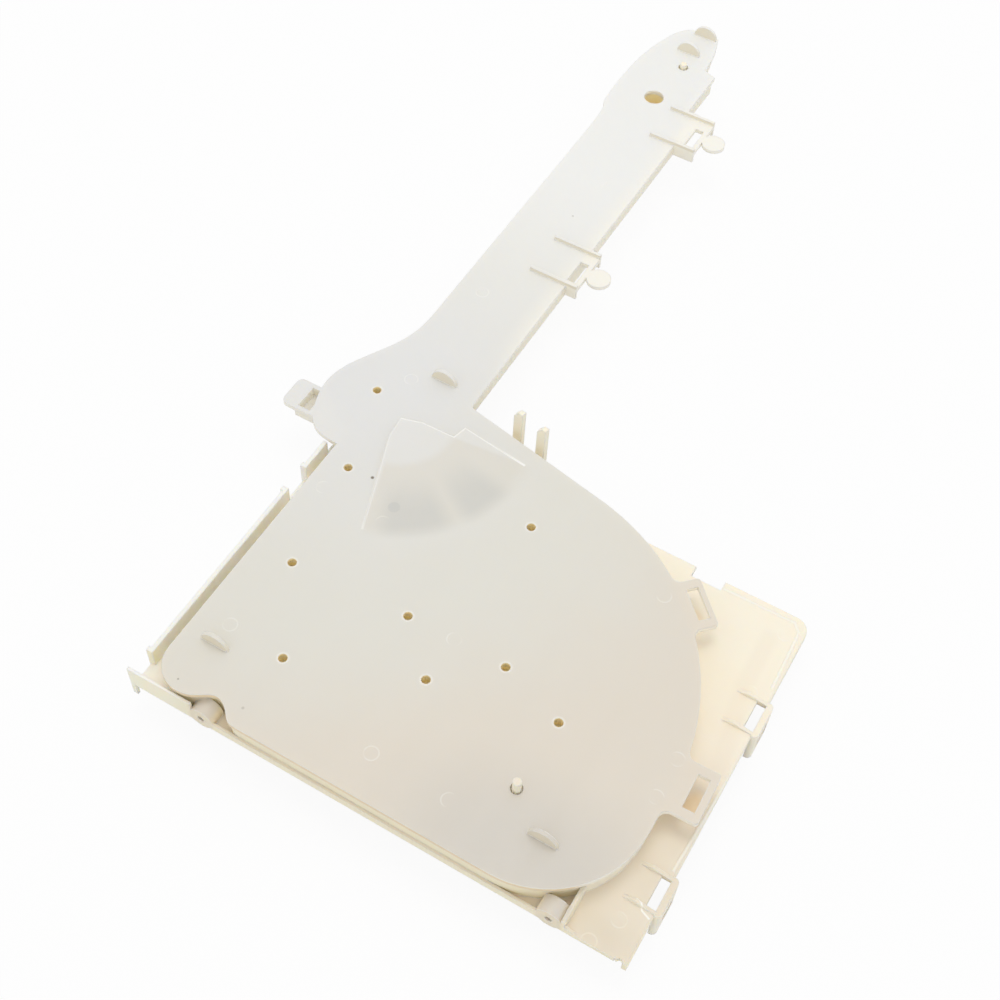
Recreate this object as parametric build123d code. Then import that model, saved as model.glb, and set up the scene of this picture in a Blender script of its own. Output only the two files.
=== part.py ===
"""Washing machine dispenser cover: a channel lid with a long water arm on a dispenser roof.

Millimetres, X along the front edge, Y to the rear, Z up, Z = 0 on the table.
Drawing zero in plan is the lid's front left corner; both pieces move to the box centre at the end.
"""
import os
from math import cos, radians, sin

from build123d import *

# Levels above the table
FLOOR_UNDER = 15.0
FLOOR_T = 2.0
FLOOR_TOP = FLOOR_UNDER + FLOOR_T
LID_TOP = FLOOR_TOP + 11.5
LID_T = 2.0
LID_UNDER = LID_TOP - LID_T
ARM_UNDER = LID_TOP - 9.5
ARM_FLOOR_TOP = ARM_UNDER + FLOOR_T
FRONT_WALL_TOP = LID_UNDER - 1.0
FRONT_LIP_TOP = FLOOR_TOP + 2.0
LEFT_WALL_TOP = LID_TOP - 2.4
LEG_UNDER = 8.0

# Lid plan
LID_LEFT = 4.3
LID_RIGHT = 191.0
FRONT_CORNER_R = 41.0
BOW_R = 100.0
BOW_Y = 60.0
BOW_X = LID_RIGHT - BOW_R
BOW_END = 79.0
LEFT_CORNER_R = 13.2
LEFT_CORNER_Y = 1.3
NOTCH = [(25.0, 3.5, 118), (32.0, 6.8, 90), (38.3, 3.2, 58)]
NOTCH_END = 44.0

# Arm plan; a third value is the angle pointing inward from the edge
ARM_LEFT = 0.5
ARM_RIGHT = 41.3
ARM_LEFT_Y0 = 206.0
ARM_LEFT_Y1 = 342.0
SHOULDER = [(-4.8, 183.5, -22), (-14.2, 166.0, -30), (-17.8, 151.0, 0), (-13.0, 134.5, 45)]
SHOULDER_Y = 126.2
SHOULDER_TUCK = 8.0
TIP_STEP_X = 36.5
TIP_STEP_Y0 = 388.0
TIP = [(36.5, 417.5, 225), (30.0, 420.0, 225), (28.6, 433.0, 185), (25.0, 445.8, 225), (13.5, 446.5, -80)]
TIP_BOW = [(2.5, 434.5, -28), (-3.4, 402.0, 0), (-2.4, 372.0, 3)]
ARM_STEP_Y = 178.0

# Chamber and arm duct walls
WALL_INSET = 1.2
WALL_T = 1.8
RIM_GAP = 0.4
RIM_T = 1.2
RIM_H = 1.6

# Jet chamber roof: a low cone about the inlet corner
JET_R = 56.0
JET_H = 2.4
JET_EDGE = [(20.3, 149.7), (29.0, 152.7), (43.6, 153.6), (45.2, 160.2), (75.0, 157.0)]
JET_FOOT = (36.2, 96.5)
JET_SIDE = (20.9, 140.0)
JET_OUT = (82.0, 100.0)

# Holes and pegs
HOLE_D = 3.6
HOLES = [
    (3.0, 158.5), (15.0, 118.4), (21.9, 69.0), (72.8, 72.0), (43.0, 32.5),
    (93.0, 52.4), (115.5, 72.3), (143.4, 62.5), (92.5, 132.0),
]
PILLAR_WIDE = 7.6
SOCKET_DEEP = 3.0
PEG_D = 3.4
PEG_HOLE_D = 4.8
BODY_PEG = (143.2, 32.2)
BODY_PEG_TOP = LID_TOP + 5.5
TIP_PEG = (19.4, 416.4)
TIP_PEG_TOP = LID_TOP + 2.0
SCREW_AT = (17.3, 388.0)
SCREW_HEAD_D = 9.6
SCREW_D = 5.0
SCREW_WALL = 1.8

# Half round fins on the lid
FIN_R = 6.0
FIN_T = 1.6
FINS = [(24.5, 177.6), (18.3, 24.4), (160.6, 20.2), (16.6, 428.0), (18.6, 443.8)]

# Snap tabs on the bow: angle, reach, window start
TAB_LONG = 22.0
TAB_ROOT = 8.0
TAB_CORNER = 1.4
WINDOW_LONG = 14.4
WINDOW_WIDE = 4.9
TABS = [(1.9, 13.0, 5.3), (45.4, 9.6, 2.7)]
TAB_FILLET = 3.5
INNER_FILLET = 2.0

# Arm clips: two ribs, a window and a round tongue
CLIPS = [(23.2, 265.0), (28.2, 373.5)]
CLIP_LONG = 23.6
CLIP_PITCH = 22.6
RIB_T = 1.4
RIB_H = 2.0
CLIP_DROP = 3.5
CLIP_BAR = 2.4
CLIP_WINDOW = (4.2, 13.0)
CLIP_WINDOW_SHIFT = -1.8
TONGUE_R = 5.6
TONGUE_T = 1.6
TONGUE_OUT = 5.0

# Tongue beside the shoulder
SIDE_TAB_X = -28.0
SIDE_TAB_Y = 140.0
SIDE_TAB_LONG = 14.8
SIDE_TAB_R = 3.0
SIDE_WINDOW_X = -20.4
SIDE_WINDOW = (5.6, 11.0)
SIDE_POCKET_DEEP = 4.0
SIDE_POCKET_T = 1.2

# Roof plan
ROOF_LEFT = -2.2
ROOF_RIGHT = 205.3
ROOF_REAR = 157.3
ROOF_CORNER_R = 6.0
REAR_NOTCH_X = 155.0
REAR_NOTCH = (13.0, 5.0)
RIM_DROP = 2.5
RIM_WALL_T = 2.0
ROOF_EDGE_R = 1.2
FRONT_WALL_T = 1.2
FRONT_WALL_LEFT = -4.5
FRONT_WING_LAP = 1.0
FRONT_LIP_RIGHT = 181.0
FRONT_GUSSET = 4.5
LEG_T = 2.1
LEFT_WALL_T = 1.8
LEFT_WALL_Y0 = 10.0
LEFT_WALL_Y1 = 126.0
LEFT_GAP = (98.5, 110.5)
EAR_OUT = 1.0
EAR_T = 2.0
BREAK = [(200.0, -1.0), (200.4, 0.5), (201.2, 0.2), (202.0, 1.2), (203.2, 1.0), (203.6, -1.0)]

# Front screw bosses
BOSS_X = [28.2, 174.6]
BOSS_D = 10.4
BOSS_LONG = 6.8
BOSS_Z = LID_TOP - 9.9
BOSS_BORE_D = 3.0
BOSS_BORE_DEEP = 5.6
BOSS_RIB_X = 179.3
BOSS_RIB_T = 1.5
BOSS_RIB_TOP = FLOOR_TOP + 6.0
BOSS_RIB_LONG = 16.0

# Snap hoops on the right edge
HOOP_Y = [28.5, 108.5]
HOOP_LONG = 16.4
HOOP_RIB_PITCH = 14.0
HOOP_RIB_X = 192.4
HOOP_RIB_RISE = (5.0, 1.8)
HOOP_GAP_X = 201.2
HOOP_PLATE_X = 204.9
HOOP_PLATE_T = 2.7
HOOP_CORNER_R = 2.0
HOOP_RIM_GAP = 1.5
HOOP_WINDOW = (9.0, 6.0)
HOOP_WINDOW_Z = 6.5

# Rear prongs, measured along the straight rear edge from the end of the bow
PRONGS = [48.6, 36.2]
PRONG_WIDE = 4.4
PRONG_T = 2.4
PRONG_BACK = 5.8
PRONG_TOP = LID_TOP + 10.0
PRONG_SLANT = 3.0

# Water ways
SPRAY_SLOT = (3.0, 8.0)
SPRAY_PITCH = (9.0, 14.0)
SPRAYS = [(14.5, 45.0), (48.0, 52.0), (95.0, 24.0), (158.0, 46.0), (128.0, 131.0)]
SPRAY_COUNTS = [(2, 2), (3, 2), (3, 2), (3, 1), (3, 1)]
INLET_AT = (12.0, 404.0)
INLET_OD = 14.0
INLET_ID = 11.0


def bow_point(angle, r=BOW_R):
    return (BOW_X + r * cos(radians(angle)), BOW_Y + r * sin(radians(angle)))


def moved(points, d):
    """Points of an edge shifted inward by d, each along its own inward angle."""
    return [(x + d * cos(radians(a)), y + d * sin(radians(a))) for x, y, a in points]


def lid_outline(d=0.0, tuck=0.0):
    """Plan of the lid plate with its arm, without tabs and clips, drawn d inside its edge.

    The front of the shoulder goes a further tuck inward.
    """
    bow_end = bow_point(BOW_END, BOW_R - d)
    slope = cos(radians(BOW_END)) / sin(radians(BOW_END))
    right = ARM_RIGHT - d
    left = ARM_LEFT + d
    edge = LID_LEFT + d
    inner = (right, bow_end[1] + (bow_end[0] - right) * slope)
    step = (TIP_STEP_X - d, TIP_STEP_Y0 - d)
    step_end, neck, tip_right, tip_end, tip_top = moved(TIP, d)
    shoulder = moved(SHOULDER[:-1], d) + moved(SHOULDER[-1:], d + tuck)
    shoulder_end = (edge, SHOULDER_Y + d + tuck)
    front = LID_RIGHT - FRONT_CORNER_R
    front_r = FRONT_CORNER_R - d
    front_mid = (front + front_r * cos(radians(45)), FRONT_CORNER_R - front_r * sin(radians(45)))
    side = (LID_LEFT + LEFT_CORNER_R, LEFT_CORNER_Y + LEFT_CORNER_R)
    side_r = LEFT_CORNER_R - d
    side_mid = (side[0] - side_r * cos(radians(45)), side[1] - side_r * sin(radians(45)))
    lines = [
        Line((NOTCH_END, d), (front, d)),
        ThreePointArc((front, d), front_mid, (LID_RIGHT - d, FRONT_CORNER_R)),
        Line((LID_RIGHT - d, FRONT_CORNER_R), (LID_RIGHT - d, BOW_Y)),
        ThreePointArc((LID_RIGHT - d, BOW_Y), bow_point(BOW_END / 2, BOW_R - d), bow_end),
        Line(bow_end, inner),
        Line(inner, (right, step[1])),
        Line((right, step[1]), step),
        Line(step, step_end),
        Line(step_end, neck),
        ThreePointArc(neck, tip_right, tip_end),
        Line(tip_end, tip_top),
        Spline(tip_top, *moved(TIP_BOW, d), (left, ARM_LEFT_Y1), tangents=[(-1, -0.2), (0, -1)]),
        Line((left, ARM_LEFT_Y1), (left, ARM_LEFT_Y0)),
        Spline((left, ARM_LEFT_Y0), *shoulder, shoulder_end, tangents=[(0, -1), (1, 0)]),
        Line(shoulder_end, (edge, side[1])),
        ThreePointArc((edge, side[1]), side_mid, (side[0], LEFT_CORNER_Y + d)),
        Spline((side[0], LEFT_CORNER_Y + d), *moved(NOTCH, d), (NOTCH_END, d), tangents=[(1, 0), (1, 0)]),
    ]
    return make_face(lines)


def slab(face, z0, z1):
    return extrude(Pos(0, 0, z0) * face, z1 - z0)


def block(x0, x1, y0, y1, z0, z1):
    size = (x1 - x0, y1 - y0, z1 - z0)
    return Pos((x0 + x1) / 2, (y0 + y1) / 2, (z0 + z1) / 2) * Box(*size)


def post(at, d, z0, z1):
    return Pos(at[0], at[1], (z0 + z1) / 2) * Cylinder(d / 2, z1 - z0)


def pillar(at, z0):
    """Square post from the floor to the lid's underside."""
    return slab(Pos(*at) * Rectangle(PILLAR_WIDE, PILLAR_WIDE), z0, LID_UNDER)


def jet_roof():
    """Low conical roof over the jets, cut to the chamber's plan."""
    apex = JET_EDGE[0]
    plan = make_face(Polyline(*JET_EDGE, JET_OUT, JET_FOOT, JET_SIDE, close=True))
    cone = Pos(apex[0], apex[1], LID_TOP + JET_H / 2) * Cone(JET_R, 0, JET_H)
    return cone & slab(plan, LID_TOP, LID_TOP + JET_H)


def fin(at):
    disc = Pos(at[0], at[1], LID_TOP) * Rot(90, 0, 0) * Cylinder(FIN_R, FIN_T)
    return disc & block(at[0] - FIN_R, at[0] + FIN_R, at[1] - FIN_T, at[1] + FIN_T, LID_TOP, LID_TOP + FIN_R)


def bow_tab(angle, reach, window):
    """Snap tab on the bow and the window through it, both at one angle."""
    turn = Pos(BOW_X, BOW_Y) * Rot(0, 0, angle)
    plate = Pos(BOW_R + (reach - TAB_ROOT) / 2, 0) * Rectangle(reach + TAB_ROOT, TAB_LONG)
    outer = plate.vertices().group_by(Axis.X)[-1]
    plate = fillet(outer, TAB_CORNER)
    hole = Pos(BOW_R + window + WINDOW_WIDE / 2, 0) * Rectangle(WINDOW_WIDE, WINDOW_LONG)
    return turn * plate, turn * hole


def rounded_roots(plan):
    """Round the corners where the tabs leave the bow and where the arm leaves the rear edge."""
    for angle, _, _ in TABS:
        for side in (-1, 1):
            root = Pos(BOW_X, BOW_Y) * Rot(0, 0, angle) * Pos(BOW_R, side * TAB_LONG / 2)
            plan = fillet(plan.vertices().sort_by_distance(root.position)[0], TAB_FILLET)
    bow_end = bow_point(BOW_END)
    return fillet(plan.vertices().sort_by_distance((ARM_RIGHT, bow_end[1]))[0], INNER_FILLET)


def clip_plan(x, y):
    """Clip bracket beyond the arm's edge with its tongue, and its window."""
    out = x + CLIP_LONG
    plate = Pos((ARM_RIGHT + out) / 2 - CLIP_BAR, y) * Rectangle(out - ARM_RIGHT + 2 * CLIP_BAR, CLIP_PITCH)
    tongue = Pos(out + TONGUE_OUT, y) * Circle(TONGUE_R)
    hole = Pos(out - CLIP_BAR - CLIP_WINDOW[0] / 2, y + CLIP_WINDOW_SHIFT) * Rectangle(*CLIP_WINDOW)
    return plate, tongue, hole


def clip_ribs(x, y):
    ribs = []
    for side in (-1, 1):
        mid = y + side * CLIP_PITCH / 2
        y0 = mid - RIB_T / 2
        y1 = mid + RIB_T / 2
        ribs.append(block(x, x + CLIP_LONG, y0, y1, LID_UNDER, LID_TOP + RIB_H))
        ribs.append(block(ARM_RIGHT, x + CLIP_LONG, y0, y1, LID_UNDER - CLIP_DROP, LID_TOP))
    return ribs


def side_tab():
    """Rounded tongue beside the shoulder, with the window next to the plate's edge."""
    wide = LID_LEFT - SIDE_TAB_X
    plate = Pos(SIDE_TAB_X + wide / 2, SIDE_TAB_Y) * RectangleRounded(wide, SIDE_TAB_LONG, SIDE_TAB_R)
    hole = Pos(SIDE_WINDOW_X + SIDE_WINDOW[0] / 2, SIDE_TAB_Y) * Rectangle(*SIDE_WINDOW)
    return plate, hole


def side_pocket():
    """Closed pocket that hangs under the tongue's window, up to the plate's edge."""
    right = LID_LEFT - SIDE_WINDOW_X
    wide = SIDE_WINDOW[1]
    room = Pos(SIDE_WINDOW_X + right / 2, SIDE_TAB_Y) * Rectangle(right, wide)
    around = Rectangle(right + SIDE_POCKET_T, wide + 2 * SIDE_POCKET_T)
    shell = Pos(SIDE_WINDOW_X + (right - SIDE_POCKET_T) / 2, SIDE_TAB_Y) * around - lid_outline()
    low = LID_UNDER - SIDE_POCKET_DEEP
    return slab(shell, low, LID_UNDER) - slab(room, low + SIDE_POCKET_T, LID_UNDER)


def channel_lid():
    tabs = [bow_tab(*tab) for tab in TABS]
    clips = [clip_plan(*clip) for clip in CLIPS]
    side, side_hole = side_tab()
    plan = lid_outline()
    for tab, _ in tabs:
        plan += tab
    plan = rounded_roots(plan) + (side - side_hole)
    for plate, _, _ in clips:
        plan += plate
    lid = slab(plan, LID_UNDER, LID_TOP)
    for _, tongue, _ in clips:
        lid += slab(tongue, LID_TOP - TONGUE_T, LID_TOP)
    for x, y in CLIPS:
        for rib in clip_ribs(x, y):
            lid += rib
    for hole in [tab[-1] for tab in tabs] + [clip[-1] for clip in clips]:
        lid -= slab(hole, LID_UNDER, LID_TOP)
    lid += side_pocket()
    rim = WALL_INSET + WALL_T + RIM_GAP
    ring = lid_outline(rim, SHOULDER_TUCK) - lid_outline(rim + RIM_T, SHOULDER_TUCK)
    lid += slab(ring, LID_UNDER - RIM_H, LID_UNDER)
    lid += jet_roof()
    for at in FINS:
        lid += fin(at)
    for at in HOLES:
        lid -= post(at, HOLE_D, LID_UNDER, LID_TOP + JET_H)
    for at in (BODY_PEG, TIP_PEG):
        lid -= post(at, PEG_HOLE_D, LID_UNDER, LID_TOP)
    lid -= post(SCREW_AT, SCREW_HEAD_D, LID_UNDER, LID_TOP)
    return lid


def hoop(y):
    """Two gusset ribs on the roof and a hanging plate with a snap window."""
    out = HOOP_PLATE_X + HOOP_PLATE_T
    plate = block(HOOP_PLATE_X, out, y - HOOP_LONG / 2, y + HOOP_LONG / 2, 0, FLOOR_TOP)
    plate = fillet(plate.edges().filter_by(Axis.Z).group_by(Axis.X)[-1], HOOP_CORNER_R)
    wide, high = HOOP_WINDOW
    z0 = HOOP_WINDOW_Z - high / 2
    plate -= block(HOOP_PLATE_X, out, y - wide / 2, y + wide / 2, z0, z0 + high)
    run, rise = HOOP_RIB_RISE
    end = out - HOOP_CORNER_R
    side = make_face(Polyline(
        (HOOP_RIB_X, FLOOR_TOP), (HOOP_PLATE_X, FLOOR_UNDER), (end, FLOOR_UNDER), (end, FLOOR_TOP),
        (HOOP_RIB_X + run, FLOOR_TOP + rise), close=True))
    for mid in (y - HOOP_RIB_PITCH / 2, y + HOOP_RIB_PITCH / 2):
        plate += extrude(Pos(0, mid - RIB_T / 2, 0) * Rot(90, 0, 0) * side, -RIB_T)
    return plate


def boss(x):
    arch = Pos(x, BOSS_LONG / 2, BOSS_Z) * Rot(90, 0, 0) * Cylinder(BOSS_D / 2, BOSS_LONG)
    return arch + block(x - BOSS_D / 2, x + BOSS_D / 2, 0, BOSS_LONG, FLOOR_UNDER, BOSS_Z)


def prong(along):
    """Upright blade behind the straight rear edge, on a ledge at floor level."""
    x, y = bow_point(BOW_END)
    place = Pos(x, y) * Rot(0, 0, BOW_END - 90)
    half = PRONG_WIDE / 2
    face = make_face(Polyline(
        (-along - half, FLOOR_UNDER), (-along + half, FLOOR_UNDER), (-along + half, PRONG_TOP),
        (-along, PRONG_TOP), (-along - half, PRONG_TOP - PRONG_SLANT), close=True))
    blade = Pos(0, PRONG_BACK + PRONG_T / 2, 0) * extrude(Rot(90, 0, 0) * face, PRONG_T)
    ledge = block(-along - half, -along + half, -WALL_T, PRONG_BACK, FLOOR_UNDER, FLOOR_TOP)
    return place * (blade + ledge)


def roof_floor():
    """Flat roof panel with its rounded rear corner, rear notch and soft right and rear edges."""
    plan = Pos((ROOF_LEFT + ROOF_RIGHT) / 2, ROOF_REAR / 2) * Rectangle(ROOF_RIGHT - ROOF_LEFT, ROOF_REAR)
    corner = plan.vertices().sort_by(Axis.X)[-2:].sort_by(Axis.Y)[-1]
    plan = fillet(corner, ROOF_CORNER_R)
    wide, deep = REAR_NOTCH
    plan -= Pos(REAR_NOTCH_X + wide / 2, ROOF_REAR - deep / 2) * Rectangle(wide, deep)
    floor = slab(plan, FLOOR_UNDER, FLOOR_TOP)
    soft = floor.edges().group_by(Axis.Z)[-1].filter_by(lambda e: e.center().X > REAR_NOTCH_X + wide)
    return fillet(soft, ROOF_EDGE_R)


def chamber():
    """Walls and floor under the lid; the arm's duct is shallower than the body."""
    outer = lid_outline(WALL_INSET, SHOULDER_TUCK)
    inner = lid_outline(WALL_INSET + WALL_T, SHOULDER_TUCK)
    body = slab(outer, FLOOR_UNDER, LID_UNDER) - slab(inner, FLOOR_TOP, LID_UNDER)
    duct = block(SIDE_TAB_X, BOW_X, ARM_STEP_Y, TIP[-1][1], FLOOR_UNDER, LID_UNDER)
    step = block(SIDE_TAB_X, BOW_X, ARM_STEP_Y - WALL_T, ARM_STEP_Y, FLOOR_UNDER, ARM_FLOOR_TOP)
    body -= duct & slab(outer, FLOOR_UNDER, ARM_UNDER)
    body += slab(outer, ARM_UNDER, ARM_FLOOR_TOP) & duct
    return body + (step & slab(outer, FLOOR_UNDER, ARM_FLOOR_TOP))


def side_walls():
    """Left wall with its gap and ears, left skirt, front lip with its wing, right rim."""
    inside = ROOF_LEFT + LEFT_WALL_T
    walls = block(ROOF_LEFT, inside, LEFT_WALL_Y0, LEFT_GAP[0], FLOOR_UNDER, LEFT_WALL_TOP)
    walls += block(ROOF_LEFT, inside, LEFT_GAP[1], LEFT_WALL_Y1, FLOOR_UNDER, LEFT_WALL_TOP)
    for y in (LEFT_WALL_Y0, LEFT_GAP[0] - EAR_T, LEFT_GAP[1]):
        walls += block(ROOF_LEFT - EAR_OUT, inside, y, y + EAR_T, FLOOR_UNDER, LEFT_WALL_TOP)
    walls += block(ROOF_LEFT, inside, LEFT_WALL_Y0, LEFT_WALL_Y1, 0, FLOOR_UNDER)
    walls += block(FRONT_WALL_LEFT, FRONT_WALL_LEFT + LEG_T, 0, FRONT_WALL_T, LEG_UNDER, FRONT_WALL_TOP)
    wing = BOSS_X[0] - BOSS_D / 2 + FRONT_WING_LAP
    front = make_face(Polyline(
        (FRONT_WALL_LEFT, FLOOR_UNDER), (FRONT_LIP_RIGHT + FRONT_GUSSET, FLOOR_UNDER),
        (FRONT_LIP_RIGHT + FRONT_GUSSET, FLOOR_TOP), (FRONT_LIP_RIGHT, FRONT_LIP_TOP),
        (wing, FRONT_LIP_TOP), (wing, FRONT_WALL_TOP),
        (FRONT_WALL_LEFT, FRONT_WALL_TOP), close=True))
    walls += extrude(Rot(90, 0, 0) * front, -FRONT_WALL_T)
    rim_end = ROOF_REAR - ROOF_CORNER_R
    return walls + block(ROOF_RIGHT - RIM_WALL_T, ROOF_RIGHT, 0, rim_end, FLOOR_UNDER - RIM_DROP, FLOOR_UNDER)


def dispenser_roof():
    roof = roof_floor() + chamber() + side_walls()
    for x in BOSS_X:
        roof += boss(x)
    roof += block(BOSS_RIB_X, BOSS_RIB_X + BOSS_RIB_T, 0, BOSS_RIB_LONG, FLOOR_TOP, BOSS_RIB_TOP)
    for at in HOLES + [BODY_PEG]:
        roof += pillar(at, FLOOR_TOP)
    roof += post(BODY_PEG, PEG_D, FLOOR_TOP, BODY_PEG_TOP)
    roof += pillar(TIP_PEG, ARM_UNDER) + post(TIP_PEG, PEG_D, ARM_UNDER, TIP_PEG_TOP)
    roof += post(SCREW_AT, SCREW_HEAD_D + 2 * SCREW_WALL, ARM_UNDER, LID_UNDER)
    roof += post(INLET_AT, INLET_OD, 0, ARM_FLOOR_TOP)
    for along in PRONGS:
        roof += prong(along)
    roof -= slab(make_face(Polyline(*BREAK, close=True)), 0, FLOOR_TOP)
    for y in HOOP_Y:
        half = (HOOP_RIB_PITCH - RIB_T) / 2
        roof -= block(HOOP_GAP_X, ROOF_RIGHT, y - half, y + half, 0, FLOOR_TOP)
        free = HOOP_LONG / 2 + HOOP_RIM_GAP
        roof -= block(HOOP_GAP_X, ROOF_RIGHT, y - free, y + free, 0, FLOOR_UNDER)
        roof += hoop(y)
    for x in BOSS_X:
        roof -= Pos(x, BOSS_BORE_DEEP / 2, BOSS_Z) * Rot(90, 0, 0) * Cylinder(BOSS_BORE_D / 2, BOSS_BORE_DEEP)
    for at in HOLES:
        roof -= post(at, HOLE_D, LID_UNDER - SOCKET_DEEP, LID_UNDER)
    roof -= post(SCREW_AT, SCREW_HEAD_D, ARM_FLOOR_TOP, LID_UNDER)
    roof -= post(SCREW_AT, SCREW_D, ARM_UNDER, ARM_FLOOR_TOP)
    roof -= post(INLET_AT, INLET_ID, 0, ARM_FLOOR_TOP)
    for at, counts in zip(SPRAYS, SPRAY_COUNTS):
        slots = Pos(*at) * GridLocations(*SPRAY_PITCH, *counts) * Rectangle(*SPRAY_SLOT)
        roof -= [slab(slot, FLOOR_UNDER, FLOOR_TOP) for slot in slots]
    return roof


os.makedirs("parts", exist_ok=True)
lid = channel_lid()
roof = dispenser_roof()
box = Compound([lid, roof]).bounding_box()
home = Pos(-(box.min.X + box.max.X) / 2, -(box.min.Y + box.max.Y) / 2, 0)
for name, piece in (("channel_lid", lid), ("dispenser_roof", roof)):
    export_step(home * piece, f"parts/{name}.step")
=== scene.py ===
"""Looks of the washing machine dispenser cover: moulded plastics, marks, floor, light and camera."""
from math import atan2, cos, radians, sin

import bpy
from mathutils import Euler, Matrix, Vector

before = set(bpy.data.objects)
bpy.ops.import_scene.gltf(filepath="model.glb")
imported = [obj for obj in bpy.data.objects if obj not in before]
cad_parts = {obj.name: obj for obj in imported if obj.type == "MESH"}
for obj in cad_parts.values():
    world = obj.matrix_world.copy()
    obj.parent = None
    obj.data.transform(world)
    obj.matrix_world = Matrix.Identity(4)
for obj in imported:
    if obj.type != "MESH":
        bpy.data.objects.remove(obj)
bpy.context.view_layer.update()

# Plan of the drawing in the row frame, millimetres
CENTRE_X = 89.8
CENTRE_Y = 223.25
LID_TOP = 28.5
FLOOR_TOP = 17.0
MM = 0.001

# Directions in plan, degrees
RIGHTWARD, REARWARD, LEFTWARD, FRONTWARD = 0.0, 90.0, 180.0, 270.0


def spot_at(x, y, z):
    """A point of the drawing, in metres in the row frame."""
    return ((x - CENTRE_X) * MM, (y - CENTRE_Y) * MM, z * MM)


def srgb(r, g, b):
    """A colour picked in 0 to 255, as the linear colour that shaders take."""
    out = []
    for v in (r, g, b):
        c = v / 255
        out.append(c / 12.92 if c <= 0.04045 else ((c + 0.055) / 1.055) ** 2.4)
    return (*out, 1.0)


# Colours of the lid
LID_COOL = srgb(229, 228, 225)
LID_TONE = srgb(226, 223, 213)
LID_WARM = srgb(226, 217, 203)
LID_GREY = srgb(211, 206, 197)
# Painted light along the arm, and painted glow by its right rim
LID_PALE_LIT = srgb(242, 241, 236)
LID_RIM_GLOW = srgb(250, 245, 232)
# Painted shade on the low cone over the jets
LID_FAN_SHADE = srgb(206, 205, 199)
LID_WASH_SHADE = srgb(221, 216, 204)
# Pale colour of the painted highlights on edges, hole rims and the cone, and of the ejector rings
LID_EDGE = srgb(254, 252, 246)
# Painted light on the lid's upright walls, and painted shade on the upright faces of fins and ribs
LID_SIDE_LIT = srgb(253, 248, 234)
LID_FIN_SHADE = srgb(232, 224, 205)

# Colours of the roof
# Painted shade at the roof's front, painted light at its rear
ROOF_FRONT_SHADE = srgb(229, 219, 199)
ROOF_REAR_LIT = srgb(253, 241, 222)
ROOF_PALE = srgb(251, 243, 229)
# Pale colour of the painted highlights on edges, the rim line and the beads, and of the ejector rings
ROOF_EDGE = srgb(255, 251, 242)
# Painted light on the roof's upright faces
ROOF_SIDE_LIT = srgb(252, 244, 226)
# Painted light on the left wall and the front wing
ROOF_WALL_LIT = srgb(255, 249, 238)
BOSS_TONE = srgb(219, 213, 203)

# Colours of painted glow and shade in hollows and under edges, and of dirt
GLOW = srgb(255, 238, 194)
TAN_SHADE = srgb(241, 218, 180)
SPECK = srgb(112, 98, 78)

# Plastic: rounded edges that get painted highlights, painted light and shade on upright faces, bump
# depths in millimetres, gloss, and light that spreads inside
EDGE_ROUND = 0.7
EDGE_SAMPLES = 4
EDGE_TURN = (0.99, 0.80)
EDGE_SHARE = 0.9
SIDE_SLOPE = (0.3, 0.8)
SIDE_SHARE = 0.85
WAVE_DEEP = 0.10
GRAIN_DEEP = 0.006
RING_DEEP = 0.05
BEAD_DEEP = 0.2
ROUGHNESS = (0.42, 0.6)
SPECULAR = 0.35
SPREAD_BY_COLOUR = (1.0, 0.85, 0.6)
LID_SOFT, LID_SPREAD = 0.25, 4.0
ROOF_SOFT, ROOF_SPREAD = 0.5, 1.5
WALL_SOFT, WALL_SPREAD = 0.8, 3.0

# Noises: scale per metre and detail, and the stretch of the scuffs
LID_CLOUD = (16.0, 3.0)
ROOF_CLOUD = (18.0, 3.0)
LID_WAVES = (22.0, 1.0)
ROOF_WAVES = (24.0, 1.0)
SCUFFS = (90.0, 4.0)
RING_BREAKS = (130.0, 0.0)
GRAIN = (1400.0, 2.0)
LID_SCUFF_STRETCH = (1.0, 0.12, 1.0)
ROOF_SCUFF_STRETCH = (0.12, 1.0, 1.0)

# Ranges of a noise that count from none to full
SCUFF_RANGE = (0.3, 0.75)
RING_RANGE = (0.42, 0.62)
ROOF_CLOUD_RANGE = (0.35, 0.65)
ROOF_CLOUD_SHARE = 0.4

# Fades at a level, in millimetres, and the full middle of a stroke or speck as a share of its size
LEVEL_FADE = 0.3
STROKE_CORE = 0.3
SPECK_CORE = 0.4


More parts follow.
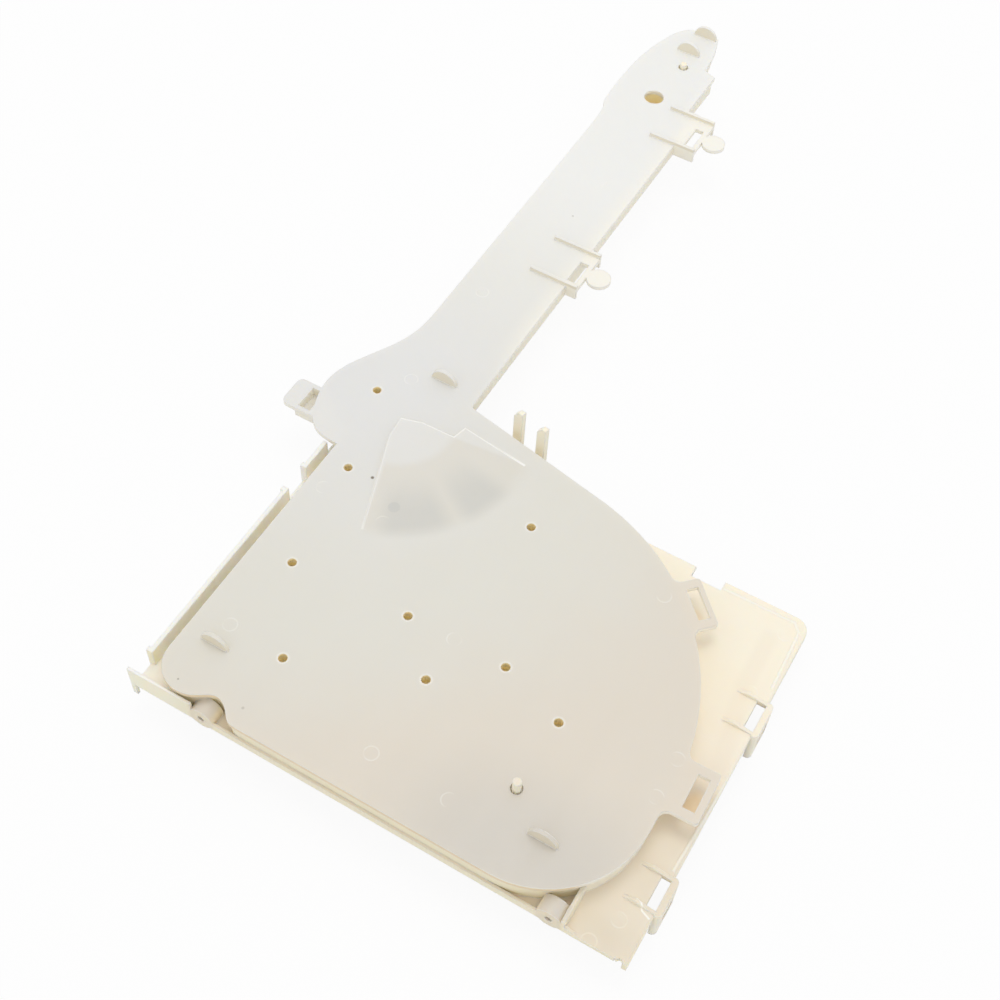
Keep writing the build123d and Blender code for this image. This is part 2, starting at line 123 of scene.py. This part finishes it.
class Maker:
    """Adds nodes to one material and links them. Lengths are in millimetres of the drawing."""

    def __init__(self, name):
        self.material = bpy.data.materials.new(name)
        self.material.use_nodes = True
        self.tree = self.material.node_tree
        self.tree.nodes.clear()
        self.place = self.add("ShaderNodeTexCoord").outputs["Object"]

    def add(self, kind, **settings):
        node = self.tree.nodes.new(kind)
        for key, value in settings.items():
            setattr(node, key, value)
        return node

    def put(self, socket, value):
        if isinstance(value, bpy.types.NodeSocket):
            self.tree.links.new(value, socket)
        else:
            socket.default_value = value

    def math(self, operation, a, b=0.0):
        node = self.add("ShaderNodeMath", operation=operation)
        self.put(node.inputs[0], a)
        self.put(node.inputs[1], b)
        return node.outputs[0]

    def ramp(self, value, low, high, out_low=0.0, out_high=1.0):
        node = self.add("ShaderNodeMapRange", interpolation_type="SMOOTHSTEP")
        for socket, v in zip(node.inputs, (value, low, high, out_low, out_high)):
            self.put(socket, v)
        return node.outputs[0]

    def near(self, distance, inside, outside, share=1.0):
        """The share within the inner distance, 0 past the outer one."""
        return self.ramp(distance, inside * MM, outside * MM, share, 0.0)

    def past(self, distance, start, end):
        """0 within the start distance, 1 past the end one."""
        return self.ramp(distance, start * MM, end * MM)

    def mix(self, share, a, b):
        node = self.add("ShaderNodeMix", data_type="RGBA")
        self.put(node.inputs["Factor"], share)
        colours = [s for s in node.inputs if s.type == "RGBA"]
        self.put(colours[0], a)
        self.put(colours[1], b)
        return [s for s in node.outputs if s.type == "RGBA"][0]

    def tint(self, colour, tone, mask, share):
        """The colour, with a share of another tone where the mask is 1."""
        return self.mix(self.math("MULTIPLY", mask, share), colour, tone)

    def noise(self, scale, detail, stretch=None):
        node = self.add("ShaderNodeTexNoise")
        node.inputs["Scale"].default_value = scale
        node.inputs["Detail"].default_value = detail
        place = self.place
        if stretch:
            mapping = self.add("ShaderNodeMapping")
            mapping.inputs["Scale"].default_value = stretch
            self.put(mapping.inputs["Vector"], place)
            place = mapping.outputs[0]
        self.put(node.inputs["Vector"], place)
        return node.outputs["Fac"]

    def axis(self, name):
        node = self.add("ShaderNodeSeparateXYZ")
        self.put(node.inputs[0], self.place)
        return node.outputs[name]

    def rearward(self, start, end):
        """0 in front of one line across the drawing, 1 behind another."""
        return self.ramp(self.axis("Y"), spot_at(0, start, 0)[1], spot_at(0, end, 0)[1])

    def distance(self, x, y, squeeze=(1.0, 1.0), turn=0.0):
        """Distance in plan from a point of the drawing, in metres."""
        mapping = self.add("ShaderNodeMapping", vector_type="TEXTURE")
        mapping.inputs["Location"].default_value = spot_at(x, y, 0.0)
        mapping.inputs["Rotation"].default_value = (0.0, 0.0, turn)
        self.put(mapping.inputs["Vector"], self.place)
        scale = self.add("ShaderNodeVectorMath", operation="MULTIPLY")
        self.put(scale.inputs[0], mapping.outputs[0])
        scale.inputs[1].default_value = (*squeeze, 0.0)
        length = self.add("ShaderNodeVectorMath", operation="LENGTH")
        self.put(length.inputs[0], scale.outputs[0])
        return length.outputs["Value"]

    def blot(self, at, inside, outside, **shape):
        return self.near(self.distance(*at, **shape), inside, outside)

    def nearest(self, places):
        """Distance in plan from the nearest of some points of the drawing, in metres."""
        out = self.distance(*places[0])
        for place in places[1:]:
            out = self.math("MINIMUM", out, self.distance(*place))
        return out

    def beyond(self, at, angle, soft):
        """1 on the side of a line that the angle points to, 0 on the other."""
        dot = self.add("ShaderNodeVectorMath", operation="DOT_PRODUCT")
        self.put(dot.inputs[0], self.place)
        way = (cos(radians(angle)), sin(radians(angle)), 0.0)
        dot.inputs[1].default_value = way
        level = sum(a * b for a, b in zip(spot_at(*at, 0.0), way))
        return self.ramp(dot.outputs["Value"], level - soft * MM, level + soft * MM)

    def product(self, values):
        out = values[0]
        for v in values[1:]:
            out = self.math("MULTIPLY", out, v)
        return out

    def total(self, values):
        out = values[0]
        for v in values[1:]:
            out = self.math("MAXIMUM", out, v)
        return out

    def stroke(self, start, end, width):
        """1 on a straight line between two points of the drawing, 0 off it."""
        run = Vector(end) - Vector(start)
        mapping = self.add("ShaderNodeMapping", vector_type="TEXTURE")
        mapping.inputs["Location"].default_value = spot_at(*start, 0.0)
        mapping.inputs["Rotation"].default_value = (0.0, 0.0, atan2(run.y, run.x))
        self.put(mapping.inputs["Vector"], self.place)
        part = self.add("ShaderNodeSeparateXYZ")
        self.put(part.inputs[0], mapping.outputs[0])
        half = run.length * MM / 2
        from_middle = self.math("ABSOLUTE", self.math("SUBTRACT", part.outputs["X"], half))
        ends = self.near(self.math("SUBTRACT", from_middle, half), 0.0, width)
        side = self.near(self.math("ABSOLUTE", part.outputs["Y"]), STROKE_CORE * width, width)
        return self.math("MULTIPLY", ends, side)

    def path(self, points, width):
        return self.total([self.stroke(a, b, width) for a, b in zip(points, points[1:])])

    def side(self):
        """1 on upright faces, 0 on level ones."""
        part = self.add("ShaderNodeSeparateXYZ")
        self.put(part.inputs[0], self.add("ShaderNodeNewGeometry").outputs["True Normal"])
        return self.ramp(self.math("ABSOLUTE", part.outputs["Z"]), *SIDE_SLOPE, 1.0, 0.0)

    def under(self, z):
        """1 below a level of the drawing, 0 above it."""
        return self.near(self.axis("Z"), z - LEVEL_FADE, z)

    def finish(self, colour, edge, roughness, heights, soft, spread):
        """Plastic with painted highlights on its edges, bumps and light that spreads inside."""
        shader = self.add("ShaderNodeBsdfPrincipled")
        bevel = self.add("ShaderNodeBevel", samples=EDGE_SAMPLES)
        bevel.inputs["Radius"].default_value = EDGE_ROUND * MM
        normal = bevel.outputs["Normal"]
        turn = self.add("ShaderNodeVectorMath", operation="DOT_PRODUCT")
        self.put(turn.inputs[0], normal)
        self.put(turn.inputs[1], self.add("ShaderNodeNewGeometry").outputs["True Normal"])
        # Painted highlight: the edge colour is mixed in where the bevel turns the normal
        edge_highlight = self.ramp(turn.outputs["Value"], *EDGE_TURN, 0.0, EDGE_SHARE)
        colour = self.mix(edge_highlight, colour, edge)
        for height, depth in heights:
            bump = self.add("ShaderNodeBump")
            bump.inputs["Strength"].default_value = 1.0
            bump.inputs["Distance"].default_value = depth * MM
            self.put(bump.inputs["Height"], height)
            self.put(bump.inputs["Normal"], normal)
            normal = bump.outputs["Normal"]
        self.put(shader.inputs["Base Color"], colour)
        self.put(shader.inputs["Roughness"], roughness)
        self.put(shader.inputs["Normal"], normal)
        shader.inputs["Specular IOR Level"].default_value = SPECULAR
        self.put(shader.inputs["Subsurface Weight"], soft)
        shader.inputs["Subsurface Radius"].default_value = SPREAD_BY_COLOUR
        self.put(shader.inputs["Subsurface Scale"], spread)
        out = self.add("ShaderNodeOutputMaterial")
        self.put(out.inputs["Surface"], shader.outputs[0])
        return self.material


# Ejector marks
MARK_RADIUS = 2.8
MARK_WIDTH = 0.5
MARK_SHARE = 0.3
LID_MARKS = [
    (93.0, 72.5), (187.0, 55.0), (187.0, 72.0), (12.0, 105.0), (12.0, 171.0), (18.0, 34.0),
    (92.0, 17.0), (125.0, 16.0), (152.0, 131.0), (41.5, 103.0), (12.0, 230.0), (28.0, 320.0),
]
ROOF_MARKS = [(195.5, 13.0), (190.0, 1.0), (198.0, 147.0), (197.0, 117.0)]

# Small holes and the screw well, where a tan glow is painted into the plastic, and the pale rim of each
# hole, a painted highlight
HOLES = [
    (3.0, 158.5), (15.0, 118.4), (21.9, 69.0), (72.8, 72.0), (43.0, 32.5),
    (93.0, 52.4), (115.5, 72.3), (143.4, 62.5), (92.5, 132.0),
]
HOLE_IN_LID = (1.8, 2.0)
HOLE_IN_ROOF = (1.8, 2.2)
# Painted highlight: a pale ring round each hole
HOLE_RIM = (2.0, 2.9)
HOLE_RIM_HIGHLIGHT_SHARE = 0.45
WELL = (17.3, 388.0)
WELL_FADE = (4.8, 5.2)

# Windows of the bow's tabs, where tan shade is painted on the roof below them: plan place, turn in
# radians and share; the pocket under the side tongue, where a glow is painted
WINDOWS = [((198.7, 63.6), 0.03, 0.8), ((164.8, 134.9), 0.79, 0.45)]
WINDOW_FADE = (2.5, 6.5)
WINDOW_SQUEEZE = (1.3, 0.8)
WINDOW_TOP = FLOOR_TOP + 0.5
SIDE_POCKET = (-18.0, 140.0)
SIDE_POCKET_FADE = (6.0, 8.0)
SIDE_POCKET_TOP = 26.6
SIDE_POCKET_SHARE = 0.15

# Tone of the lid: cool at the shoulder, warm away from it, grey by the front corner; painted light that
# makes it paler along the arm, and a painted glow by the arm's right rim
SHOULDER = (-5.0, 160.0)
COOL_FADE = (10.0, 110.0)
WARM_FADE = (110.0, 200.0)
CLOUD_SHIFT = 30.0
FRONT_CORNER = (158.0, 8.0)
FRONT_CORNER_FADE = (10.0, 48.0)
FRONT_CORNER_SQUEEZE = (0.7, 1.0)
FRONT_CORNER_SHARE = 0.75
ARM_FADE = (150.0, 330.0)
ARM_RIM = (38.0, 205.0)
ARM_RIM_SIDE_SOFT = 7.0
ARM_RIM_END_SOFT = 20.0
ARM_RIM_SHARE = 0.7
# Level above which upright faces get the painted fin shade
FIN_FOOT = LID_TOP + 0.6
# Painted shade: tan on the upright faces under the lid's front edge
LID_FRONT = (60.0, 12.0)
LID_FRONT_SOFT = 2.0

# Dirt specks in the lid's skin: plan place, radius and share
LID_SPECKS = [
    ((26.1, 119.3), 0.95, 0.85), ((15.5, 5.4), 0.55, 0.5), ((42.6, 8.0), 0.8, 0.25),
    ((23.1, 293.4), 0.7, 0.3), ((42.6, 221.6), 0.8, 0.45),
]

# Low cone over the jets: its corner, its edges with painted highlights, the angles of the two streaks of
# painted shade, and a round spot of painted shade
JET = (20.3, 149.7)
JET_REAR = [JET, (29.0, 152.7), (43.6, 153.6), (45.2, 160.2), (75.0, 157.0)]
JET_LEFT = [JET, (20.9, 140.0), (36.2, 96.5)]
JET_SIDES = (-73.4, 8.0)
JET_SIDES_SOFT = 1.0
JET_LINE = 0.8
JET_LEFT_SHARE = 0.4
JET_END = (52.0, 60.0)
WASH_START = (21.0, 26.0)
WASH_SHARE = 0.6
STREAKS = [(-66.0, -37.0), (-30.0, -8.0)]
STREAK_SOFT = 5.0
STREAK_START = (26.0, 48.0)
STREAK_SHARE = 0.7
JET_SHADE_SPOT = (41.6, 111.3)
JET_SHADE_SPOT_FADE = (2.0, 3.4)

# Roof: painted shade darker to the front, painted light on the pale left wall and wing, grey bosses, and
# a painted warm glow on the front wall under the lid
PANEL_FADE = (5.0, 140.0)
LEFT_WALL = (2.0, 60.0)
LEFT_WALL_SOFT = 1.0
LEFT_WALL_SHARE = 0.9
WING = (8.0, 0.0)
WING_FADE = (8.0, 16.0)
BOSSES = [(28.2, 3.4), (174.6, 3.4)]
BOSS_FADE = (5.2, 7.0)
BOSS_BACK = (60.0, 6.9)
BOSS_BACK_SOFT = 0.3
BOSS_SHARE = 0.8
# Painted warm glow on the front wall in the shade under the lid
FRONT_WALL = (60.0, 13.0)
FRONT_WALL_SOFT = 2.0
FRONT_WALL_TOP = 27.0
FRONT_WALL_SHARE = 0.4

# Pale line beside the front hoop, a painted highlight on the rim's lit edge; beads along the panel's
# edge, raised by bump, with painted highlights on them; and a soft crease
RIM_HIGHLIGHT = [(197.4, 22.8), (199.4, 21.9), (200.8, 19.9), (204.2, 18.6)]
RIM_HIGHLIGHT_WIDTH = 0.5
BEADS = [[(169.0, 153.6), (199.5, 154.0), (202.5, 150.5), (203.6, 122.8)], [(205.8, 91.5), (203.7, 38.6)]]
BEAD_WIDTH = 0.9
BEAD_SHARE = 0.6
# Painted shade along a soft crease
CREASE = [(193.5, 143.1), (194.0, 116.3), (201.0, 79.6)]
CREASE_WIDTH = 5.0
CREASE_SHARE = 0.15


def skin(m, waves, stretch, rings):
    """Roughness from scuffs, and bumps from waves, grain and ejector rings."""
    scuffs = m.noise(*SCUFFS, stretch=stretch)
    heights = [(m.noise(*waves), WAVE_DEEP), (m.noise(*GRAIN), GRAIN_DEEP), (rings, RING_DEEP)]
    return m.ramp(scuffs, *SCUFF_RANGE, *ROUGHNESS), heights


def marks(m, places):
    """Faint ejector rings that show only in part."""
    off = m.math("ABSOLUTE", m.math("SUBTRACT", m.nearest(places), MARK_RADIUS * MM))
    shown = m.ramp(m.noise(*RING_BREAKS), *RING_RANGE)
    return m.math("MULTIPLY", m.near(off, 0.0, MARK_WIDTH), shown)


def wedge(m, low, high, soft):
    """1 between two angles at the cone's corner."""
    return m.math("MULTIPLY", m.beyond(JET, low + 90, soft), m.beyond(JET, high - 90, soft))


def fan(m, colour):
    """Painted shade on the low cone, where the inside shows through: a darker wash, two darker streaks
    and a round spot; and painted highlights along its edges.
    """
    far = m.distance(*JET)
    reach = m.near(far, *JET_END)
    wash = m.product([wedge(m, *JET_SIDES, JET_SIDES_SOFT), reach, m.past(far, *WASH_START)])
    colour = m.tint(colour, LID_WASH_SHADE, wash, WASH_SHARE)
    streaks = m.total([wedge(m, low, high, STREAK_SOFT) for low, high in STREAKS])
    streaks = m.product([streaks, reach, m.past(far, *STREAK_START), STREAK_SHARE])
    colour = m.mix(m.total([streaks, m.blot(JET_SHADE_SPOT, *JET_SHADE_SPOT_FADE)]), colour, LID_FAN_SHADE)
    # Painted highlights along the cone's rear and left edges
    left = m.math("MULTIPLY", m.path(JET_LEFT, JET_LINE), JET_LEFT_SHARE)
    return m.mix(m.total([m.path(JET_REAR, JET_LINE), left]), colour, LID_EDGE)


def lid_tone(m):
    cloud = m.math("MULTIPLY", m.noise(*LID_CLOUD), 2 * CLOUD_SHIFT * MM)
    far = m.math("SUBTRACT", m.math("ADD", m.distance(*SHOULDER), cloud), CLOUD_SHIFT * MM)
    colour = m.mix(m.past(far, *COOL_FADE), LID_COOL, LID_TONE)
    colour = m.mix(m.past(far, *WARM_FADE), colour, LID_WARM)
    corner = m.blot(FRONT_CORNER, *FRONT_CORNER_FADE, squeeze=FRONT_CORNER_SQUEEZE)
    colour = m.tint(colour, LID_GREY, corner, FRONT_CORNER_SHARE)
    # Painted light: paler along the arm; then a painted glow by the arm's right rim
    colour = m.mix(m.rearward(*ARM_FADE), colour, LID_PALE_LIT)
    right = m.beyond(ARM_RIM, RIGHTWARD, ARM_RIM_SIDE_SOFT)
    rim = m.math("MULTIPLY", right, m.beyond(ARM_RIM, REARWARD, ARM_RIM_END_SOFT))
    return m.tint(colour, LID_RIM_GLOW, rim, ARM_RIM_SHARE)


def lid_plastic():
    m = Maker("lid_plastic")
    colour = fan(m, lid_tone(m))
    rings = marks(m, LID_MARKS)
    colour = m.tint(colour, LID_EDGE, rings, MARK_SHARE)
    for at, size, share in LID_SPECKS:
        colour = m.tint(colour, SPECK, m.blot(at, SPECK_CORE * size, size), share)
    hole = m.nearest(HOLES)
    # Painted highlight round the holes
    colour = m.mix(m.near(hole, *HOLE_RIM, HOLE_RIM_HIGHLIGHT_SHARE), colour, LID_EDGE)
    # Painted light on the upright walls, painted shade on the fins' upright faces
    upright = m.mix(m.under(FIN_FOOT), LID_FIN_SHADE, LID_SIDE_LIT)
    # Painted shade, tan, on the upright faces under the lid's front edge
    front = m.math("MULTIPLY", m.beyond(LID_FRONT, FRONTWARD, LID_FRONT_SOFT), m.under(LID_TOP))
    colour = m.tint(colour, m.mix(front, upright, TAN_SHADE), m.side(), SIDE_SHARE)
    # Painted glow in the holes and in the pocket under the side tongue
    pocket = [m.blot(SIDE_POCKET, *SIDE_POCKET_FADE), m.under(SIDE_POCKET_TOP), SIDE_POCKET_SHARE]
    colour = m.mix(m.total([m.near(hole, *HOLE_IN_LID), m.product(pocket)]), colour, GLOW)
    roughness, heights = skin(m, LID_WAVES, LID_SCUFF_STRETCH, rings)
    return m.finish(colour, LID_EDGE, roughness, heights, LID_SOFT, LID_SPREAD * MM)


def roof_plastic():
    m = Maker("roof_plastic")
    # Painted shade darker to the front, painted light paler to the rear
    colour = m.mix(m.rearward(*PANEL_FADE), ROOF_FRONT_SHADE, ROOF_REAR_LIT)
    cloud = m.ramp(m.noise(*ROOF_CLOUD), *ROOF_CLOUD_RANGE, 0.0, ROOF_CLOUD_SHARE)
    colour = m.mix(cloud, colour, ROOF_PALE)
    rings = marks(m, ROOF_MARKS)
    colour = m.tint(colour, ROOF_EDGE, rings, MARK_SHARE)
    # Painted shade along a soft crease
    colour = m.tint(colour, ROOF_FRONT_SHADE, m.path(CREASE, CREASE_WIDTH), CREASE_SHARE)
    # Painted highlights: the line on the rim beside the front hoop and the tops of the beads
    beads = m.total([m.path(points, BEAD_WIDTH) for points in BEADS])
    pale = m.total([m.path(RIM_HIGHLIGHT, RIM_HIGHLIGHT_WIDTH), m.math("MULTIPLY", beads, BEAD_SHARE)])
    colour = m.mix(pale, colour, ROOF_EDGE)
    side = m.side()
    # Painted light on the roof's upright faces
    colour = m.tint(colour, ROOF_SIDE_LIT, side, SIDE_SHARE)
    # Painted light on the left wall and on the front wing
    left = m.beyond(LEFT_WALL, LEFTWARD, LEFT_WALL_SOFT)
    colour = m.tint(colour, ROOF_WALL_LIT, left, LEFT_WALL_SHARE)
    colour = m.mix(m.blot(WING, *WING_FADE), colour, ROOF_WALL_LIT)
    boss = m.near(m.nearest(BOSSES), *BOSS_FADE, BOSS_SHARE)
    boss = m.math("MULTIPLY", boss, m.beyond(BOSS_BACK, FRONTWARD, BOSS_BACK_SOFT))
    colour = m.mix(boss, colour, BOSS_TONE)
    # Painted warm glow on the upright faces in the shade under the lid's front
    front = m.beyond(FRONT_WALL, FRONTWARD, FRONT_WALL_SOFT)
    front = m.product([side, front, m.under(FRONT_WALL_TOP)])
    colour = m.tint(colour, GLOW, front, FRONT_WALL_SHARE)
    low = m.under(WINDOW_TOP)
    # Painted shade: tan on the roof seen through the tabs' windows
    for at, turn, share in WINDOWS:
        window = m.blot(at, *WINDOW_FADE, turn=turn, squeeze=WINDOW_SQUEEZE)
        colour = m.tint(colour, TAN_SHADE, m.math("MULTIPLY", window, low), share)
    # Painted glow in the roof's holes and screw well
    hollows = m.total([m.near(m.nearest(HOLES), *HOLE_IN_ROOF), m.blot(WELL, *WELL_FADE)])
    colour = m.mix(hollows, colour, GLOW)
    roughness, heights = skin(m, ROOF_WAVES, ROOF_SCUFF_STRETCH, rings)
    soft = m.ramp(left, 0.0, 1.0, ROOF_SOFT, WALL_SOFT)
    spread = m.ramp(left, 0.0, 1.0, ROOF_SPREAD * MM, WALL_SPREAD * MM)
    return m.finish(colour, ROOF_EDGE, roughness, [*heights, (beads, BEAD_DEEP)], soft, spread)


def dress(node, material):
    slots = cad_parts[node].data.materials
    slots.clear()
    slots.append(material)


dress("channel_lid", lid_plastic())
dress("dispenser_roof", roof_plastic())

# Rays that meet a white backdrop: from the camera, off gloss and through clear things
BACKDROP_RAYS = ("Is Camera Ray", "Is Glossy Ray", "Is Transmission Ray")


def backdrop_rays(tree):
    """1 for the rays that meet a white backdrop, 0 for the others."""
    rays = tree.nodes.new("ShaderNodeLightPath").outputs
    out = rays[BACKDROP_RAYS[0]]
    for kind in BACKDROP_RAYS[1:]:
        either = tree.nodes.new("ShaderNodeMath")
        either.operation = "MAXIMUM"
        tree.links.new(out, either.inputs[0])
        tree.links.new(rays[kind], either.inputs[1])
        out = either.outputs[0]
    return out


# Floor that reads white and keeps a faint shadow
FLOOR_SIZE = 6.0
FLOOR_CLOUD = (3.0, 2.0)
FLOOR_TONES = [(0.86, 0.86, 0.86, 1.0), (0.88, 0.88, 0.88, 1.0)]
FLOOR_WHITE_SHARE = 0.92


def floor():
    bpy.ops.mesh.primitive_plane_add(size=FLOOR_SIZE, location=(0, 0, 0))
    plane = bpy.context.object
    plane.name = "floor"
    m = Maker("floor_white")
    diffuse = m.add("ShaderNodeBsdfDiffuse")
    m.put(diffuse.inputs["Color"], m.mix(m.noise(*FLOOR_CLOUD), *FLOOR_TONES))
    white = m.add("ShaderNodeEmission")
    both = m.add("ShaderNodeMixShader")
    m.put(both.inputs[0], m.math("MULTIPLY", backdrop_rays(m.tree), FLOOR_WHITE_SHARE))
    m.put(both.inputs[1], diffuse.outputs[0])
    m.put(both.inputs[2], white.outputs[0])
    out = m.add("ShaderNodeOutputMaterial")
    m.put(out.inputs["Surface"], both.outputs[0])
    plane.data.materials.append(m.material)


floor()

# Plain white surround and a soft lamp overhead: metres and watts
LAMP_AT = (-0.05, 0.1, 1.4)
LAMP_AIM = (-0.05, 0.05, 0.0)
LAMP_SIZE = 0.7
LAMP_POWER = 3.3
SURROUND = 0.84


def lamp():
    data = bpy.data.lights.new("top_lamp", "AREA")
    data.shape = "DISK"
    data.size = LAMP_SIZE
    data.energy = LAMP_POWER
    holder = bpy.data.objects.new("top_lamp", data)
    bpy.context.scene.collection.objects.link(holder)
    turn = (Vector(LAMP_AIM) - Vector(LAMP_AT)).to_track_quat("-Z", "Y")
    holder.matrix_world = Matrix.Translation(LAMP_AT) @ turn.to_matrix().to_4x4()


def surround():
    world = bpy.data.worlds.new("surround")
    bpy.context.scene.world = world
    world.use_nodes = True
    tree = world.node_tree
    back = tree.nodes["Background"]
    strength = tree.nodes.new("ShaderNodeMapRange")
    strength.inputs["To Min"].default_value = SURROUND
    strength.inputs["To Max"].default_value = 1.0
    tree.links.new(backdrop_rays(tree), strength.inputs["Value"])
    tree.links.new(strength.outputs[0], back.inputs["Strength"])
    back.inputs["Color"].default_value = (1.0, 1.0, 1.0, 1.0)


lamp()
surround()

# Camera solved from the photo: its place, its tilt, roll and heading in degrees, and its lens
CAMERA_AT = spot_at(236.8, -177.3, LID_TOP + 498.0)
CAMERA_TURN = (35.2876, -2.16, 30.2443)
CAMERA_LENS = 54.94
CAMERA_SENSOR = 36.0
CAMERA_NEAR = 0.01


def camera():
    data = bpy.data.cameras.new("camera")
    data.lens = CAMERA_LENS
    data.sensor_width = CAMERA_SENSOR
    data.clip_start = CAMERA_NEAR
    holder = bpy.data.objects.new("camera", data)
    bpy.context.scene.collection.objects.link(holder)
    turn = Euler([radians(angle) for angle in CAMERA_TURN])
    holder.matrix_world = Matrix.Translation(CAMERA_AT) @ turn.to_matrix().to_4x4()
    bpy.context.scene.camera = holder


camera()
bpy.context.scene.view_settings.view_transform = "Standard"
